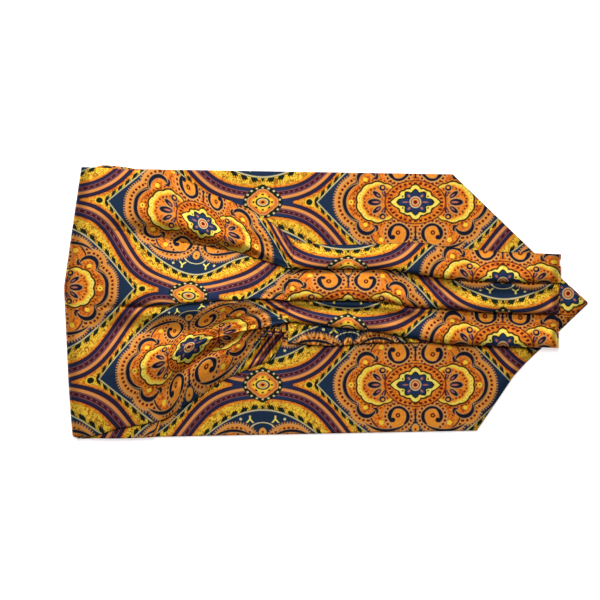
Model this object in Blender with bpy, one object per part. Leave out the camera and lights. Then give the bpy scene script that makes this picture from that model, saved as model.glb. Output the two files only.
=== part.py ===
"""A silk cravat: two wide pointed blades and a pleated neckband, folded and laid flat.

The strip is doubled at the middle of its neckband (right), and both blades are doubled again
(left), so that their points come out under the neckband. Sizes are millimetres in the tables
and metres in the model, with +Z up, X along the strip and the origin under the middle.
"""

import bpy
import bmesh
import numpy as np

MM = 0.001

# Cloth and stack
WALL = 1.2  # a blade's two silks with the air between them
GAP = 0.3  # between pieces that lie on each other
LOWER_TOP = WALL  # upper face of blade A's lower run
UNDER_BASE = LOWER_TOP + GAP  # underside of blade B's lower run
UNDER_TOP = UNDER_BASE + WALL
HIDDEN_BASE = UNDER_TOP + GAP
HIDDEN_TOP = 5.4
BAND_BASE = HIDDEN_TOP + GAP  # what the pleats lie on

# Left fold, half an oval seen from the side
FOLD_LEFT = -149.4  # its furthest place, at the middle of the blade
FOLD_DEPTH = 6.0  # along X, from the edge to where the cloth lies level
FOLD_MIDDLE = 4.6  # height of the edge
FOLD_SEAM = 0.15  # half of the gap between the upper and the lower run
FOLD_STEPS = 5

# Blade A's upper run: where its lengthwise rows of thread lie at each distance from the fold
ALONG = (0.0, 8.6, 25.7, 48.5, 71.3, 94.1, 112.9, 127.9)
#     thread   edge    height above the middle of the strip at each distance in ALONG
ROWS = (
    (73.0, -139.4, (77.0, 76.7, 75.6, 75.0, 63.6, 56.7, 47.3, 35.6)),
    (51.9, -142.2, (59.0, 58.7, 56.4, 50.8, 43.5, 36.9, 29.4, 19.4)),
    (34.8, -146.5, (42.5, 42.2, 40.8, 36.2, 30.5, 25.9, 23.1, 18.5)),
    (20.0, -148.5, (28.2, 27.6, 26.5, 25.1, 23.5, 21.7, 20.0, 17.7)),
    (0.0, -149.4, (9.4, 9.0, 7.7, 5.7, 4.1, 2.9, 2.0, 1.4)),
    (-17.1, -148.9, (-8.3, -8.6, -8.3, -5.4, -2.9, -1.1, -0.3, 0.6)),
    (-34.8, -148.2, (-27.6, -27.1, -24.2, -19.7, -13.1, -7.1, -3.7, -0.3)),
    (-51.9, -146.8, (-45.3, -44.5, -40.8, -34.9, -24.8, -16.2, -12.8, -11.1)),
    (-69.0, -145.6, (-63.0, -62.4, -58.4, -52.2, -40.8, -29.9, -24.2, -19.4)),
    (-80.4, -144.5, (-75.5, -76.0, -71.4, -67.3, -57.0, -42.5, -36.3, -32.6)),
)
#     thread   sideways shift of the row at each distance in ALONG
SHIFTS = (
    (73.0, (10.0, 10.3, 10.4, 10.7, 8.3, 2.6, 1.1, 0.0)),
    (51.9, (7.2, 9.7, 10.3, 10.7, 8.3, 2.6, 1.1, 0.0)),
    (0.0, (0.0, -0.6, 0.0, 0.0, 0.0, 0.0, 0.0, 0.0)),
    (-51.9, (2.6, 4.6, 5.7, 6.4, 0.2, 0.0, 0.0, 0.0)),
    (-69.0, (3.8, 5.0, 5.7, 6.0, 0.2, 0.0, -1.5, -3.4)),
    (-80.4, (4.9, 5.4, 5.7, 5.4, 0.2, 0.0, -4.0, -9.1)),
)
#     thread   height of the upper face, pleats aside, at each distance in ALONG
HEIGHTS = (
    (73.0, (7.2, 7.2, 7.2, 6.9, 4.4, 4.3, 5.4, 7.0)),
    (51.9, (8.8, 8.8, 9.0, 9.4, 9.4, 8.6, 7.6, 7.0)),
    (27.4, (8.8, 8.8, 8.6, 8.0, 7.5, 7.2, 7.0, 7.0)),
    (0.0, (8.8, 8.8, 9.0, 9.2, 9.2, 8.6, 7.6, 7.0)),
    (-17.1, (8.8, 8.8, 8.6, 8.2, 7.5, 7.2, 7.0, 7.0)),
    (-51.9, (8.8, 8.8, 9.2, 10.0, 10.4, 9.4, 8.0, 7.0)),
    (-69.0, (8.2, 8.2, 8.2, 8.2, 7.9, 7.4, 7.0, 6.6)),
    (-80.4, (7.2, 7.2, 7.2, 7.0, 4.8, 4.3, 4.3, 4.5)),
)
#     thread   height that the pleat adds at its fold, at each distance in ALONG
PLEATS = (
    (51.9, (0.0, 0.0, 0.0, 0.3, 0.9, 1.6, 2.0, 2.2)),
    (0.0, (0.0, 0.0, 0.0, 0.4, 1.0, 1.6, 2.0, 2.2)),
    (-51.9, (0.0, 0.0, 0.2, 0.6, 1.2, 1.8, 2.1, 2.2)),
)
PLEAT_SLOPE = 19.0  # cloth from a pleat's low side up to its fold
PLEAT_BULGE = 0.7  # power of the slope: under 1 it is rounded towards the fold
PLEAT_DROP = 8.0  # cloth in the drop behind the fold
FILLED_FROM = 75.0  # distance along at which the folded cloth starts to fill the pleats
FILLED_TO = 113.0
BLADE_COLUMNS = 24
THREADS_BETWEEN_ROWS = 3

# Blade B's lower run, and blade A's under it: (X, Y) round each point, from the top edge down
POINT_B = (
    ("top corner", 72.0, 73.0),
    ("rounded", 74.4, 70.6),
    ("tip", 148.2, -0.5),
    ("lower side", 121.0, -26.2),
    ("bend", 106.6, -41.9),
    ("bottom corner", 85.6, -73.0),
)
POINT_A = (
    ("top corner", 70.0, 71.6),
    ("rounded", 73.0, 69.2),
    ("tip", 149.4, -0.3),
    ("lower side", 123.0, -25.6),
    ("bend", 105.0, -42.4),
    ("bottom corner", 83.0, -71.6),
)
TOP_EDGE_B = (75.0, 73.0)  # Y at the left fold and at the top corner
BOTTOM_EDGE_B = (-78.4, -73.0)
TOP_EDGE_A = (76.0, 71.6)
BOTTOM_EDGE_A = (-77.6, -71.6)
B_SETBACK = 4.6  # from the fold's edge to blade B's lower run
LONG_STEPS = 9
ROW_SPACING = 8.0

# The hidden runs, one rounded solid: Y of its two edges at each X
#     X       upper    lower
HIDDEN = (
    (-139.0, 58.0, -60.0),
    (-136.2, 74.0, -74.0),
    (-132.6, 78.4, -77.2),
    (-122.0, 77.8, -77.4),
    (-109.2, 76.0, -77.2),
    (-98.0, 66.0, -76.6),
    (-92.0, 61.5, -62.0),
    (-80.0, 53.0, -50.0),
    (-64.0, 46.0, -38.0),
    (-49.0, 41.0, -27.0),
    (-34.0, 35.5, -20.0),
    (-23.0, 31.0, -17.0),
    (-20.0, 31.0, -22.5),
    (0.0, 31.0, -22.5),
    (50.0, 32.0, -22.5),
    (98.0, 28.0, -23.5),
    (127.5, 26.5, -24.5),
)
HIDDEN_LEFT = 2.6  # from the fold's edge to this solid
#     height   inset of the edge, which shows as three layers
LAYERS = (
    (HIDDEN_BASE, 0.5),
    (3.3, 0.0),
    (3.7, 0.0),
    (3.9, 0.6),
    (4.1, 0.1),
    (4.5, 0.1),
    (4.7, 0.8),
    (4.9, 0.4),
    (5.2, 0.5),
    (HIDDEN_TOP, 1.1),
)
LIP_TOP = 4.5  # below this height the solid reaches under the turned ends of the pleats
LIP = 2.9
END_STEPS = 4

# Neckband: Y of its upper edge and of the three pleats' folds at each X
#     X       edge    fold 1  fold 2  fold 3
BAND = (
    (-20.8, 35.1, 19.1, 1.5, -11.1),
    (3.1, 32.9, 19.1, 1.1, -13.7),
    (29.4, 33.3, 19.1, 0.6, -16.8),
    (49.9, 34.4, 16.2, -2.6, -20.5),
    (68.7, 31.6, 13.4, -3.7, -23.4),
    (98.9, 29.0, 11.7, -6.0, -24.8),
    (132.0, 27.6, 11.1, -6.6, -25.9),
)
BAND_LEFT = -20.9
BAND_TURN = 127.4  # where the band starts to turn down
BAND_SPAN = BAND_TURN + 6.0  # where its own length ends, before it is turned
TURN_HEIGHT = 5.0  # height of the turn's axis
TURN_ANGLE = np.radians(88)
BAND_STEPS = 20
TURN_STEPS = 6
#     share of the width that shows, from the fold up; upper face; underside
PLEAT_SECTION = (
    (0.00, 8.6, 7.6),
    (0.06, 9.2, 7.0),
    (0.35, 9.1, 7.0),
    (0.62, 8.4, 7.0),
    (0.80, 7.4, 6.1),
    (1.00, 6.7, BAND_BASE),
)
TUCK = (0.58, 6.7, BAND_BASE)  # the end under the pleat above, as a share of that pleat's width

# The turned-under cloth below the third pleat: Y of its edge at each X, and its ruffle
#     X       edge
FLAP = (
    (-20.8, -23.0),
    (3.1, -24.4),
    (29.4, -22.6),
    (49.9, -22.6),
    (68.7, -21.6),
    (98.9, -21.6),
)
FLAP_TOP = 6.7
FLAP_TUCK = 7.0  # how far it reaches in under the pleat, from the fold
FLAP_SHARES = (0.0, 0.12, 0.4, 0.7, 1.0)  # rows of points, from the edge in
FLAP_WAVE = 0.9
FLAP_WAVE_LENGTH = 17.0
FLAP_WAVE_SHOWN = 6.0  # where this much of the flap shows, the ruffle is at its full height

# Colours of the printed satin, and of the layers in shade
SATIN = (0.42, 0.22, 0.06, 1.0)
SHADED_SATIN = (0.22, 0.12, 0.05, 1.0)
SATIN_ROUGHNESS = 0.42


def clear_scene():
    for item in list(bpy.data.objects):
        bpy.data.objects.remove(item, do_unlink=True)


def silk(name, colour):
    """A Principled material for one piece of satin."""
    material = bpy.data.materials.new(name)
    material.use_nodes = True
    shader = material.node_tree.nodes["Principled BSDF"]
    shader.inputs["Base Color"].default_value = colour
    shader.inputs["Roughness"].default_value = SATIN_ROUGHNESS
    shader.inputs["Metallic"].default_value = 0.0
    return material


def curve_through(places, values, at):
    """A smooth curve through a table's points, read at the given places.

    Each piece is a cubic. The slope at a point is the harmonic mean of the slopes on either
    side, or nought at a peak, so the curve never overshoots its points.
    """
    places = np.asarray(places, float)
    values = np.asarray(values, float)
    step = np.diff(places).reshape(-1, *[1] * (values.ndim - 1))
    rise = np.diff(values, axis=0) / step
    product = rise[:-1] * rise[1:]
    total = rise[:-1] + rise[1:]
    inner = np.where(product > 0, 2 * product / np.where(product > 0, total, 1), 0)
    slope = np.concatenate([rise[:1], inner, rise[-1:]])
    at = np.asarray(at, float)
    left = np.clip(np.searchsorted(places, at, side="right") - 1, 0, len(places) - 2)
    width = step[left]
    t = (at - places[left]).reshape(width.shape) / width
    start, end = values[left], values[left + 1]
    return (
        (1 + 2 * t) * (1 - t) ** 2 * start
        + t * (1 - t) ** 2 * width * slope[left]
        + t**2 * (3 - 2 * t) * end
        - t**2 * (1 - t) * width * slope[left + 1]
    )


def surface_through(table, threads, along):
    """A table of rows of thread, read on a grid: one line for each thread, one column along."""
    rows = np.array([row[-1] for row in table][::-1])
    places = [row[0] for row in table][::-1]
    lines = curve_through(places, rows, threads)
    return curve_through(ALONG, lines.T, along).T


def grid_solid(name, upper, lower, material):
    """Closes two grids of points, a piece's two faces, into one solid with a rim all round."""
    rows, columns = upper.shape[:2]
    points = np.concatenate([upper.reshape(-1, 3), lower.reshape(-1, 3)]) * MM
    index = np.arange(rows * columns).reshape(rows, columns)
    corners = (index[:-1, :-1], index[1:, :-1], index[1:, 1:], index[:-1, 1:])
    face = np.stack([corner.ravel() for corner in corners], axis=1)
    other = face[:, ::-1] + rows * columns
    rim = np.concatenate(
        [index[0, :], index[1:, -1], index[-1, -2::-1], index[-2:0:-1, 0]]
    )
    following = np.roll(rim, -1)
    below = rows * columns
    sides = np.stack([rim, following, following + below, rim + below], axis=1)
    return mesh_object(name, points, np.concatenate([face, other, sides]).tolist(), material)


def mesh_object(name, points, faces, material):
    """One object from points and faces, its faces turned outwards and shaded smooth."""
    mesh = bpy.data.meshes.new(name)
    mesh.from_pydata(points.tolist(), [], faces)
    shape = bmesh.new()
    shape.from_mesh(mesh)
    bmesh.ops.recalc_face_normals(shape, faces=shape.faces)
    shape.to_mesh(mesh)
    shape.free()
    mesh.shade_smooth()
    mesh.set_sharp_from_angle(angle=np.radians(50))
    mesh.materials.append(material)
    piece = bpy.data.objects.new(name, mesh)
    bpy.context.scene.collection.objects.link(piece)
    return piece


def fold_edge(height):
    """X of the left fold's edge at each height across the strip."""
    places = [row[2][0] for row in ROWS][::-1]
    edges = [row[1] for row in ROWS][::-1]
    return curve_through(places, edges, np.clip(height, places[0], places[-1]))


def pleat_lift(threads, along):
    """What the knife pleats add to the blade: up a slope to each fold, and sharply down."""
    lift = np.zeros((len(threads), len(along)))
    for fold, heights in PLEATS:
        before = np.clip(1 - (threads - fold) / PLEAT_SLOPE, 0, 1)
        behind = np.clip(1 - (fold - threads) / PLEAT_DROP, 0, 1)
        shape = np.where(threads >= fold, before**PLEAT_BULGE, behind)
        lift += shape[:, None] * curve_through(ALONG, heights, along)[None, :]
    return lift


def filled_share(along):
    """How far the pleats are filled with folded cloth, from 0 at the left to 1 at the gather."""
    t = np.clip((along - FILLED_FROM) / (FILLED_TO - FILLED_FROM), 0, 1)
    return t * t * (3 - 2 * t)


def blade_a_upper():
    """The gathered upper run: from half way round the left fold to where the neckband starts."""
    places = [row[0] for row in ROWS]
    threads = np.concatenate(
        [
            np.linspace(start, end, THREADS_BETWEEN_ROWS, endpoint=False)
            for start, end in zip(places[:-1], places[1:])
        ]
        + [places[-1:]]
    )
    turn = np.linspace(0, np.pi / 2, FOLD_STEPS, endpoint=False)
    curl = FOLD_DEPTH * (1 - np.cos(turn))
    along = np.concatenate([curl, np.linspace(FOLD_DEPTH, ALONG[-1], BLADE_COLUMNS)])
    rise = np.concatenate([np.sin(turn), np.ones(BLADE_COLUMNS)])
    inner_curl = WALL + (FOLD_DEPTH - WALL) * (1 - np.cos(turn))
    inner_along = np.concatenate([inner_curl, along[FOLD_STEPS:]])
    y = surface_through(ROWS, threads, along)
    shift = surface_through(SHIFTS, threads, along)
    base = surface_through(HEIGHTS, threads, along)
    lift = pleat_lift(threads, along)
    top = base + lift
    under = base + lift * (1 - filled_share(along)) - WALL
    start = FOLD_MIDDLE + FOLD_SEAM
    upper = np.stack(
        [FOLD_LEFT + along + shift, y, start + (top - start) * rise], axis=2
    )
    lower = np.stack(
        [FOLD_LEFT + inner_along + shift, y, start + (under - start) * rise], axis=2
    )
    grid_solid("blade_a_upper", upper, lower, silk("blade_a_satin", SATIN))


def point_outline(corners, y):
    """X of a blade's pointed end at each Y, straight between its corners."""
    places = [corner[2] for corner in corners][::-1]
    return np.interp(y, places, [corner[1] for corner in corners][::-1])


def point_rows(corners):
    """Shares of the blade's width, from the bottom edge up, with a row through every corner."""
    places = np.array([corner[2] for corner in corners][::-1])
    rows = [
        np.linspace(low, high, 2 + int((high - low) / ROW_SPACING), endpoint=False)
        for low, high in zip(places[:-1], places[1:])
    ]
    y = np.concatenate(rows + [places[-1:]])
    return (y - places[0]) / (places[-1] - places[0])


def blade_floor(corners, top_edge, bottom_edge, setback):
    """The flat run of a blade: X and Y of a grid from the left end to the point."""
    share = point_rows(corners)
    end_y = corners[-1][2] + share * (corners[0][2] - corners[-1][2])
    left_y = bottom_edge[0] + share * (top_edge[0] - bottom_edge[0])
    left_x = fold_edge(left_y) + setback
    right_x = point_outline(corners, end_y)
    step = np.linspace(0, 1, LONG_STEPS)[None, :]
    x = left_x[:, None] + (right_x - left_x)[:, None] * step
    y = left_y[:, None] + (end_y - left_y)[:, None] * step
    return x, y


def blade_b_lower():
    """The under blade that shows, lying flat."""
    x, y = blade_floor(POINT_B, TOP_EDGE_B, BOTTOM_EDGE_B, B_SETBACK)
    upper = np.stack([x, y, np.full_like(x, UNDER_TOP)], axis=2)
    lower = np.stack([x, y, np.full_like(x, UNDER_BASE)], axis=2)
    grid_solid("blade_b_lower", upper, lower, silk("blade_b_satin", SATIN))


def blade_a_lower():
    """The lowest run: flat on the table, and turned up at the left to meet the upper run."""
    x, y = blade_floor(POINT_A, TOP_EDGE_A, BOTTOM_EDGE_A, FOLD_DEPTH)
    turn = np.linspace(np.pi / 2, 0, FOLD_STEPS + 1)[:-1][::-1]
    seam = FOLD_MIDDLE - FOLD_SEAM
    outer_x = x[:, :1] - FOLD_DEPTH * np.cos(turn)
    outer_z = seam * (1 - np.sin(turn))
    inner_x = x[:, :1] - (FOLD_DEPTH - WALL) * np.cos(turn)
    inner_z = WALL + (seam - WALL) * (1 - np.sin(turn))
    turned_y = np.repeat(y[:, :1], FOLD_STEPS, axis=1)
    rows = np.ones((len(x), 1))
    outer = np.stack([outer_x, turned_y, outer_z * rows], axis=2)
    inner = np.stack([inner_x, turned_y, inner_z * rows], axis=2)
    flat_outer = np.stack([x, y, np.zeros_like(x)], axis=2)
    flat_inner = np.stack([x, y, np.full_like(x, LOWER_TOP)], axis=2)
    upper = np.concatenate([inner, flat_inner], axis=1)
    lower = np.concatenate([outer, flat_outer], axis=1)
    grid_solid("blade_a_lower", upper, lower, silk("blade_a_back", SHADED_SATIN))


def hidden_ring(height, inset):
    """The hidden solid's outline at one height, moved in, from the right end round to it."""
    x = np.array([row[0] for row in HIDDEN])
    x[0] += inset
    x[-1] += (LIP if height <= LIP_TOP else 0.0) - inset
    high = np.array([row[1] for row in HIDDEN]) - inset
    low = np.array([row[2] for row in HIDDEN]) + inset
    left_y = np.linspace(high[0], low[0], END_STEPS + 2)[1:-1]
    right_y = np.linspace(low[-1], high[-1], END_STEPS + 2)[1:-1]
    upper = np.stack([x, high], axis=1)[::-1]
    left = np.stack([fold_edge(left_y) + HIDDEN_LEFT + inset, left_y], axis=1)
    lower = np.stack([x, low], axis=1)
    right = np.stack([np.full(END_STEPS, x[-1]), right_y], axis=1)
    ring = np.concatenate([upper, left, lower, right])
    return np.column_stack([ring, np.full(len(ring), height)])


def hidden_layers():
    """Blade B's upper run and the neckband's lower half, which nothing shows but their edges."""
    rings = np.stack([hidden_ring(height, inset) for height, inset in LAYERS])
    levels, count = rings.shape[:2]
    index = np.arange(levels * count).reshape(levels, count)
    here, there = index[:-1], index[1:]
    sides = np.stack(
        [here, np.roll(here, -1, axis=1), np.roll(there, -1, axis=1), there], axis=2
    ).reshape(-1, 4)
    faces = sides.tolist() + [index[0].tolist()[::-1], index[-1].tolist()]
    points = rings.reshape(-1, 3) * MM
    mesh_object("hidden_layers", points, faces, silk("hidden_satin", SHADED_SATIN))


def turned_down(x, y, z):
    """Carries what lies past the turn round and down: its height becomes its distance from the axis."""
    past = np.clip(x - BAND_TURN, 0, None)
    angle = past / (BAND_SPAN - BAND_TURN) * TURN_ANGLE
    reach = z - TURN_HEIGHT
    bent_x = np.minimum(x, BAND_TURN) + reach * np.sin(angle)
    bent_z = TURN_HEIGHT + reach * np.cos(angle)
    return np.stack([bent_x, y, bent_z], axis=2)


def band_columns():
    straight = np.linspace(BAND_LEFT, BAND_TURN, BAND_STEPS)
    return np.concatenate([straight, np.linspace(BAND_TURN, BAND_SPAN, TURN_STEPS)[1:]])


def band_lines(x):
    """Y of the band's upper edge and its three folds at each X, one line each."""
    places = [row[0] for row in BAND]
    lines = np.array([row[1:] for row in BAND])
    return curve_through(places, lines, np.clip(x, places[0], places[-1])).T


def neckband_pleats():
    """Three knife pleats, each lying with its fold on the next one down."""
    x = band_columns()
    lines = band_lines(x)
    for number in (1, 2, 3):
        rows = PLEAT_SECTION
        above, fold = lines[number - 1], lines[number]
        share = np.array([row[0] for row in rows])[:, None]
        y = fold[None, :] + share * (above - fold)[None, :]
        if number > 1:
            rows = PLEAT_SECTION + (TUCK,)
            y = np.vstack([y, above + TUCK[0] * (lines[number - 2] - above)])
        grid_x = np.repeat(x[None, :], len(rows), axis=0)
        faces = [
            turned_down(grid_x, y, np.array([row[side] for row in rows])[:, None] + 0 * y)
            for side in (1, 2)
        ]
        name = f"neckband_pleat_{number}"
        grid_solid(name, faces[0], faces[1], silk(f"{name}_satin", SATIN))


def neckband_flap():
    """What is left of the cloth's width, turned in under the third pleat and ruffled."""
    places = [row[0] for row in FLAP]
    x = np.linspace(BAND_LEFT, places[-1], BAND_STEPS)
    edge = curve_through(places, [row[1] for row in FLAP], np.clip(x, places[0], None))
    fold = band_lines(x)[3]
    share = np.array(FLAP_SHARES)[:, None]
    y = edge + share * (fold + FLAP_TUCK - edge)
    fade = np.clip((fold - edge) / FLAP_WAVE_SHOWN, 0, 1) * (1 - share) ** 2
    wave = FLAP_WAVE * fade * (1 + np.cos(2 * np.pi * x / FLAP_WAVE_LENGTH)) / 2
    shape = np.stack([np.repeat(x[None, :], len(share), axis=0), y], axis=2)
    upper = np.concatenate([shape, (FLAP_TOP + wave)[:, :, None]], axis=2)
    lower = np.concatenate([shape, (BAND_BASE + wave)[:, :, None]], axis=2)
    grid_solid("neckband_flap", upper, lower, silk("neckband_flap_satin", SHADED_SATIN))


clear_scene()
blade_a_lower()
blade_b_lower()
hidden_layers()
blade_a_upper()
neckband_pleats()
neckband_flap()
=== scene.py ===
"""A silk cravat with a printed ogee medallion pattern, folded and laid flat on a white table."""

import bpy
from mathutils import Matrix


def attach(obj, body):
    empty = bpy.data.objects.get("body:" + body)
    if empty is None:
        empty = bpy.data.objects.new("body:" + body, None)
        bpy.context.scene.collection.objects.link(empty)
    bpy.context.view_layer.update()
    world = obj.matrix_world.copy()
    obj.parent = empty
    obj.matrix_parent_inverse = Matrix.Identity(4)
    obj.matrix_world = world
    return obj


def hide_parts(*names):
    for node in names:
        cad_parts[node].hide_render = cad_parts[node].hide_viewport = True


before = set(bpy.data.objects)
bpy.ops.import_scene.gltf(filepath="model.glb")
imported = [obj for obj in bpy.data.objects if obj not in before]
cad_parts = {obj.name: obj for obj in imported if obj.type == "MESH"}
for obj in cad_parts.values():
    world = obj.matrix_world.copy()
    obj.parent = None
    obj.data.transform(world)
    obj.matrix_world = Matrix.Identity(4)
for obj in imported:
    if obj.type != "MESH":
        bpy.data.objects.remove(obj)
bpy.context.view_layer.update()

from types import SimpleNamespace

import bpy
import numpy as np

MM = 0.001

# Camera: straight above, with the width of table that it sees and the middle of that, in mm
SEEN_WIDTH = 342.0
SEEN_MIDDLE = (-15.1, 1.4)
CAMERA_HEIGHT = 2000.0
SENSOR = 36.0

# Light table: half of its side in m, and the strength of its glow
TABLE_HALF = 8.0
TABLE_GLOW = 0.65

# Lamps: place and side of the soft box in m, and power in watts
LAMPS = (
    ("key", (-0.2, 0.9, 0.72), 0.4, 7.5),
    ("overhead", (-0.02, 0.3, 1.1), 0.34, 6.7),
    ("fill", (-0.7, -0.35, 0.6), 0.4, 0.6),
)
SKY = 0.05  # strength of the white sky

# Cloth, in mm
WALL = 1.0  # a blade: two silks with the air between them
PLEAT_WALL = 0.7
EDGE_ROUND = 0.3  # radius of a cut or folded edge
THREAD_STEP = 1.1  # between the lines of a mesh, across the cloth

# Left fold, half an oval seen from the side
FOLD_LEFT = -149.4
FOLD_DEPTH = 6.0
FOLD_MIDDLE = 4.6
FOLD_ARC = 8.3  # cloth in a quarter of the fold
GATHER = 127.9  # distance along from the fold to the neckband
GATHER_START = 84.0  # where its small ridges begin
TUCKED = 0.6  # how far the blade runs on over the neckband's end
PRINT_START = -71.1  # place in the print at the fold
FOLD_STEPS = 8  # points in a quarter of the fold
OPEN_STEPS = 64  # points along the open upper run
GATHER_STEPS = 96  # points along the gathered part
FLAT_STEPS_A = 26  # points along the lower run

# Blade A's upper run, read at these distances from the fold: its knots from the top edge down
ALONG = (0.0, 8.6, 25.7, 48.5, 71.3, 94.1, 112.9, 127.9)
#     thread, then Y, then height, at each distance in ALONG
KNOTS = (
    (
        (73.0, 73.0, 73.0, 73.0, 73.0, 73.0, 73.0, 73.0),
        (77.0, 76.7, 75.6, 75.0, 63.6, 56.7, 47.3, 35.6),
        (7.2, 7.2, 7.4, 7.8, 8.0, 8.2, 8.6, 9.6),
    ),
    (
        (60.0, 60.0, 60.0, 60.0, 60.0, 60.0, 60.0, 60.0),
        (65.9, 65.6, 63.8, 60.1, 51.2, 44.5, 36.3, 25.6),
        (8.4, 8.4, 8.6, 9.2, 10.0, 10.4, 10.6, 10.7),
    ),
    (
        (42.9, 42.9, 42.7, 45.2, 46.5, 47.3, 51.7, 55.3),
        (50.0, 49.7, 48.0, 46.0, 40.0, 34.5, 28.0, 22.0),
        (8.8, 8.8, 9.2, 10.4, 11.3, 11.5, 11.4, 11.0),
    ),
    (
        (35.0, 35.0, 35.5, 36.0, 37.8, 41.0, 47.5, 51.9),
        (42.7, 42.4, 41.4, 37.3, 32.8, 29.5, 23.8, 19.4),
        (8.8, 8.7, 8.4, 8.2, 8.6, 9.4, 10.3, 10.7),
    ),
    (
        (33.0, 33.0, 33.5, 33.5, 33.3, 28.0, 30.2, 25.5),
        (40.9, 40.6, 39.6, 36.0, 32.0, 29.0, 23.4, 19.0),
        (8.7, 8.6, 8.2, 7.9, 7.9, 7.7, 7.2, 6.6),
    ),
    (
        (-10.0, -10.0, -10.0, -11.0, -4.2, -1.5, 4.5, 6.0),
        (-0.9, -1.2, -1.7, -1.6, 0.2, 1.4, 2.3, 1.4),
        (8.8, 8.8, 9.3, 10.2, 11.0, 11.2, 11.2, 10.9),
    ),
    (
        (-12.0, -12.0, -12.0, -14.0, -14.5, -24.5, -31.5, -34.0),
        (-2.8, -3.1, -3.6, -3.0, -0.3, 0.9, 1.9, 1.0),
        (8.8, 8.7, 8.8, 9.2, 9.6, 8.6, 6.8, 6.3),
    ),
    (
        (-23.4, -23.4, -24.2, -29.0, -40.0, -46.0, -45.5, -45.0),
        (-15.0, -15.0, -15.0, -15.6, -17.0, -13.0, -8.0, -6.0),
        (8.8, 8.5, 7.6, 6.6, 6.3, 6.3, 6.3, 6.3),
    ),
    (
        (-52.0, -52.0, -52.0, -52.0, -52.0, -54.0, -54.0, -52.0),
        (-45.4, -44.6, -40.9, -35.0, -24.9, -17.9, -14.2, -11.1),
        (8.8, 8.8, 9.2, 9.9, 10.1, 10.3, 10.4, 10.3),
    ),
    (
        (-54.0, -54.0, -54.0, -54.0, -54.0, -56.0, -59.0, -62.0),
        (-47.4, -46.6, -42.9, -37.0, -26.8, -19.5, -14.7, -11.6),
        (8.8, 8.8, 9.1, 9.6, 9.6, 8.8, 6.8, 5.4),
    ),
    (
        (-69.0, -69.0, -69.0, -69.0, -69.0, -69.0, -69.0, -69.0),
        (-63.0, -62.4, -58.4, -52.2, -40.8, -29.9, -24.2, -19.4),
        (8.7, 8.7, 8.5, 7.9, 6.8, 5.6, 4.9, 4.6),
    ),
    (
        (-80.4, -80.4, -80.4, -80.4, -80.4, -80.4, -80.4, -80.4),
        (-75.5, -76.0, -71.4, -67.3, -57.0, -42.5, -36.3, -32.6),
        (8.0, 8.0, 7.9, 7.4, 5.0, 4.0, 3.9, 3.9),
    ),
)
#     rows of points from each knot to the next; how the height goes; and whether it is tucked under
SPANS = (
    (10, "round top", False),
    (12, "smooth", False),
    (10, "smooth", False),
    (16, "straight", True),
    (32, "smooth", False),
    (16, "straight", True),
    (14, "smooth", False),
    (20, "smooth", False),
    (12, "straight", True),
    (10, "straight", False),
    (12, "round edge", False),
)
#     share of the tucked cloth; how far in under the fold; share of the drop in height
TUCK_PATH = (
    (0.00, 0.00, 0.00),
    (0.05, -0.07, 0.12),
    (0.10, -0.02, 0.36),
    (0.16, 0.14, 0.50),
    (0.44, 0.95, 0.64),
    (0.50, 1.00, 0.80),
    (0.56, 0.93, 0.96),
    (1.00, 0.00, 1.00),
)
TUCK_REACH = 7.0  # the furthest that cloth is tucked in under a fold
TUCK_SPARE = 1.0  # cloth that a tuck's own turns take up
TUCK_HEIGHT = 1.6  # under this height a fold has no room for tucked cloth
TUCK_PER_HEIGHT = 2.0  # and each mm above it gives room for this much more reach
EDGE_POWER = 1.4  # over 1, so that the blade's two edges are rounded
#     thread   sideways shift of the row at each distance in ALONG
SHIFTS = (
    (73.0, (10.0, 10.3, 10.4, 10.7, 8.3, 2.6, 2.4, 2.6)),
    (51.9, (7.2, 9.7, 10.3, 10.7, 8.3, 2.6, 1.6, 1.0)),
    (0.0, (0.0, -0.6, 0.0, 0.0, 0.0, 0.0, 0.0, 0.0)),
    (-51.9, (2.6, 4.6, 5.7, 6.4, 0.2, 0.0, 0.0, 0.0)),
    (-69.0, (3.8, 5.0, 5.7, 6.0, 0.2, 0.0, -1.5, -3.4)),
    (-80.4, (4.9, 5.4, 5.7, 5.4, 0.2, 0.0, -4.0, -9.1)),
)

# Upright pleats by the gather, in the lowest cloth
PLEATS_FROM = -41.0
PLEATS_TOP = -12.0
PLEATS_LOW = -32.0
PLEATS_FADE = 4.0  # over this length they rise, at the left and at the top
PLEATS_LOW_FADE = 6.0  # and over this one at their lower end
PLEATS_APART = 4.2
PLEATS_LEAN = 0.12  # angle of their wave gained for each mm up, so they lean
PLEATS_HEIGHT = 1.4

# Ripples that run out of the gather: height, angle gained for each mm, and angle at the start
RIPPLES = ((0.22, 0.62, 0.8), (0.16, 1.13, 2.1))
RIPPLES_FROM = 60.0  # distance along where they begin
RIPPLES_POWER = 1.5  # over 1, so that they grow towards the gather

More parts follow.
